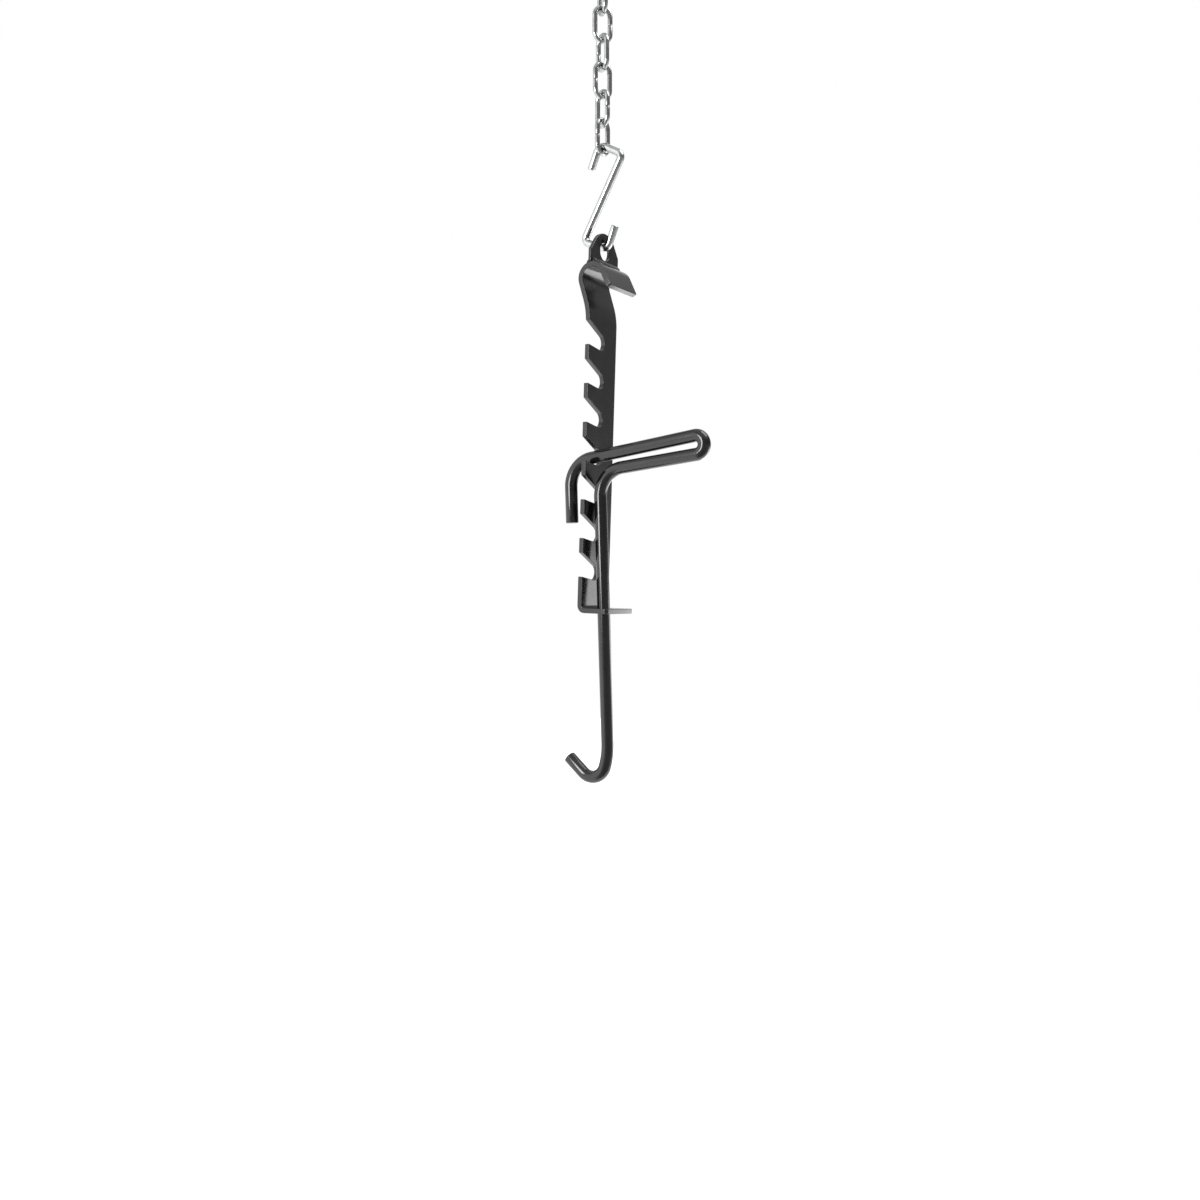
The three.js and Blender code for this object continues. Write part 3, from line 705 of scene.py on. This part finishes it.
world = bpy.data.worlds.new("studio_room")
bpy.context.scene.world = world
world.use_nodes = True
tree = world.node_tree
tree.nodes.clear()
way = add(tree, "ShaderNodeTexCoord").outputs["Generated"]
sideways = add(tree, "ShaderNodeVectorMath", {0: way, 1: TO_RIGHT}, operation="DOT_PRODUCT")
nearer = add(tree, "ShaderNodeVectorMath", {0: way, 1: TO_CAMERA}, operation="DOT_PRODUCT")
bearing = add(tree, "ShaderNodeMath", {
    0: sideways.outputs["Value"], 1: nearer.outputs["Value"]}, operation="ARCTAN2")
round_room = add(tree, "ShaderNodeMapRange", {
    "Value": bearing.outputs[0], "From Min": -math.pi, "From Max": math.pi})


def walls(levels):
    """The brightness round the room, by degrees to the right of the camera."""
    ramp = add(tree, "ShaderNodeValToRGB", {0: round_room.outputs[0]})
    ramp.color_ramp.interpolation = "EASE"
    stops = ramp.color_ramp.elements
    while len(stops) < len(levels):
        stops.new(0.5)
    for stop, (degrees, level) in zip(stops, levels):
        stop.position = (degrees + 180) / 360
    for stop, (degrees, level) in zip(stops, levels):
        stop.color = [level / WHITE_WALL] * 3 + [1.0]
    return ramp.outputs[0]


low_walls = walls([
    (-180, 1.0), (-130, 1.7), (-65, 2.2), (-35, 0.5), (0, 0.38), (40, 0.45), (75, 0.7), (115, 0.75),
    (180, 1.0)])
high_walls = walls([
    (-180, 1.0), (-130, 0.8), (-90, 1.9), (-65, 2.1), (-35, 0.5), (0, 0.3), (90, 0.25), (140, 0.4),
    (180, 1.0)])
upward = add(tree, "ShaderNodeSeparateXYZ", {0: way}).outputs[2]
above = add(tree, "ShaderNodeMapRange", {
    "Value": upward, "From Min": 0.0, "From Max": 0.1}, interpolation_type="SMOOTHSTEP")
room = add(tree, "ShaderNodeMix", {
    "Factor": above.outputs[0], 6: low_walls, 7: high_walls}, data_type="RGBA")
overhead = add(tree, "ShaderNodeMapRange", {
    "Value": upward, "From Min": 0.5, "From Max": 0.65}, interpolation_type="SMOOTHSTEP")
whole_room = add(tree, "ShaderNodeMix", {
    "Factor": overhead.outputs[0], 6: room.outputs[2], 7: [CEILING / WHITE_WALL] * 3 + [1.0]},
    data_type="RGBA")
# The white sweep is the part of the room that faces the camera from behind the object
sweep = add(tree, "ShaderNodeMapRange", {
    "Value": nearer.outputs["Value"], "From Min": -0.75, "From Max": -0.85})
straight, mirrored = background_rays(tree)
on_sweep = add(tree, "ShaderNodeMath", {0: mirrored, 1: sweep.outputs[0]}, operation="MULTIPLY")
shown = add(tree, "ShaderNodeMath", {0: straight, 1: on_sweep.outputs[0]}, operation="MAXIMUM")
lit_room = add(tree, "ShaderNodeBackground", {
    "Color": whole_room.outputs[2], "Strength": WHITE_WALL})
white = add(tree, "ShaderNodeBackground", {"Color": (1, 1, 1, 1), "Strength": 1.0})
seen = add(tree, "ShaderNodeMixShader", {
    0: shown.outputs[0], 1: lit_room.outputs[0], 2: white.outputs[0]})
add(tree, "ShaderNodeOutputWorld", {"Surface": seen.outputs[0]})


def soft_box(name, spot, target, width, height, power, roll=0.0):
    lamp = bpy.data.lights.new(name, "AREA")
    lamp.shape = "RECTANGLE"
    lamp.size = width
    lamp.size_y = height
    lamp.energy = power
    placed = bpy.data.objects.new(name, lamp)
    placed.location = spot
    placed.visible_camera = False
    facing = (Vector(target) - Vector(spot)).to_track_quat("-Z", "Y").to_matrix()
    placed.rotation_euler = (facing @ Matrix.Rotation(math.radians(roll), 3, "Z")).to_euler()
    bpy.context.scene.collection.objects.link(placed)


def round_object(degrees, distance, z):
    """A place at a bearing to the right of the camera, seen from the object's axis."""
    bearing = math.radians(degrees)
    outward = math.cos(bearing) * TO_CAMERA + math.sin(bearing) * TO_RIGHT
    return distance * outward + Vector((0, 0, z))


soft_box("left_soft_box", round_object(-42, 1.35, -0.13), (0, 0, -0.13), 0.42, 0.66, 14, -12)
soft_box("top_soft_box", round_object(80, 0.55, 0.6), (0, 0, -0.5), 0.7, 0.7, 6.6)
soft_box("low_right_soft_box", round_object(128, 0.7, -0.64), (0, 0, -0.5), 0.8, 0.3, 2.9, -12)

# The camera stands level, a metre from the axis that the chain hangs on
camera_data = bpy.data.cameras.new("photo_camera")
camera_data.lens = 38.1
camera_data.sensor_width = 36.0
camera_data.clip_start = 0.05
camera = bpy.data.objects.new("photo_camera", camera_data)
camera.location = (0.52656, -0.84784, -0.48555)
camera.rotation_euler = (math.radians(90), 0, math.radians(31.957))
bpy.context.scene.collection.objects.link(camera)
bpy.context.scene.camera = camera
bpy.context.scene.view_settings.view_transform = "Standard"
